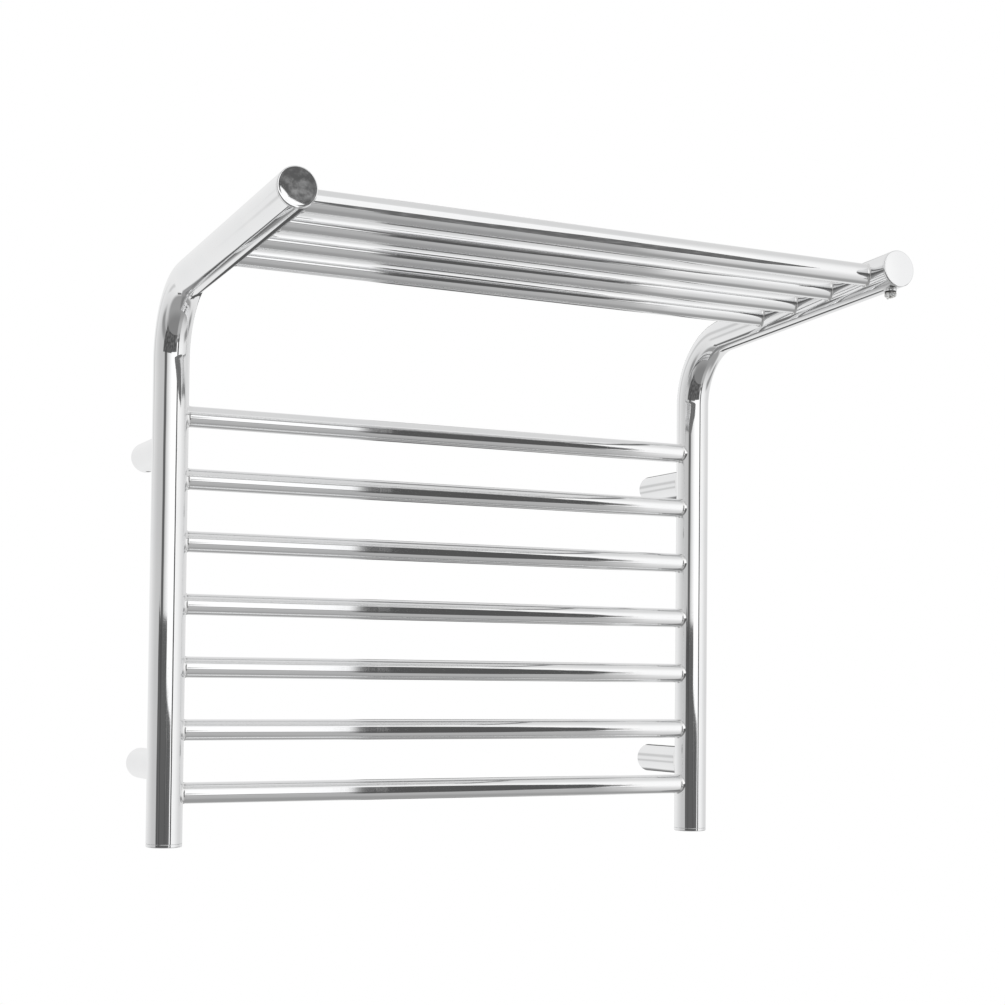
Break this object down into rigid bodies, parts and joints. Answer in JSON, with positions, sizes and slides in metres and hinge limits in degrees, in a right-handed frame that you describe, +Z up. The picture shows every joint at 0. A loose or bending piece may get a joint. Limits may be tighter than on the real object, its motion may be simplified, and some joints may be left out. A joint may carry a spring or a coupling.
{
  "type": "towel warmer rack",
  "caption": "Wall-hung polished steel towel warmer: two bent tubes carry rungs for towels and, on forward arms, a barred shelf; pipes join below and an air bleed sits under an arm.",
  "frame": {"origin": "on the wall's plane, on the rack's mid plane, midway between the four wall fixings", "axes": "+X to the right seen from the room, +Y into the wall, +Z up; the shelf's arms run along -Y"},
  "size_m": [0.58, 0.4193, 0.526],
  "materials": {
    "polished_steel": "mirror-polished stainless steel",
    "satin_steel": "turned, satin",
    "plated_brass": "nickel-plated, semi-gloss",
    "dark_steel": "black-oxide, satin",
    "grey_plastic": "moulded, satin",
    "seal_rubber": "matt"
  },
  "bodies": {
    "rack": {"left_frame_tube": "polished_steel", "right_frame_tube": "polished_steel", "left_port_bush": "polished_steel", "right_port_bush": "polished_steel", "left_arm_cap": "polished_steel", "right_arm_cap": "polished_steel", "rung_1": "polished_steel", "rung_2": "polished_steel", "rung_3": "polished_steel", "rung_4": "polished_steel", "rung_5": "polished_steel", "rung_6": "polished_steel", "rung_7": "polished_steel", "shelf_bar_1": "polished_steel", "shelf_bar_2": "polished_steel", "shelf_bar_3": "polished_steel", "shelf_bar_4": "polished_steel", "upper_left_wall_sleeve": "polished_steel", "upper_right_wall_sleeve": "polished_steel", "lower_left_wall_sleeve": "polished_steel", "lower_right_wall_sleeve": "polished_steel", "upper_left_wall_socket": "satin_steel", "upper_right_wall_socket": "satin_steel", "lower_left_wall_socket": "satin_steel", "lower_right_wall_socket": "satin_steel", "upper_left_grub_screw": "dark_steel", "upper_right_grub_screw": "dark_steel", "lower_left_grub_screw": "dark_steel", "lower_right_grub_screw": "dark_steel", "bleed_boss": "polished_steel", "bleed_seal": "seal_rubber", "bleed_valve_body": "plated_brass"},
    "bleed_spout": {"bleed_spout": "grey_plastic"},
    "bleed_key": {"bleed_key_screw": "plated_brass"}
  },
  "joints": [
    {"name": "bleed_spout_swivel", "type": "hinge", "parent": "rack", "child": "bleed_spout", "pos_m": [0.274, -0.40572, 0.29598], "axis": [0, -0.0419, -0.9991], "continuous": true},
    {"name": "bleed_key_turn", "type": "hinge", "parent": "rack", "child": "bleed_key", "pos_m": [0.274, -0.40572, 0.29598], "axis": [0, -0.0419, -0.9991], "range_deg": [0, 450]}
  ]
}
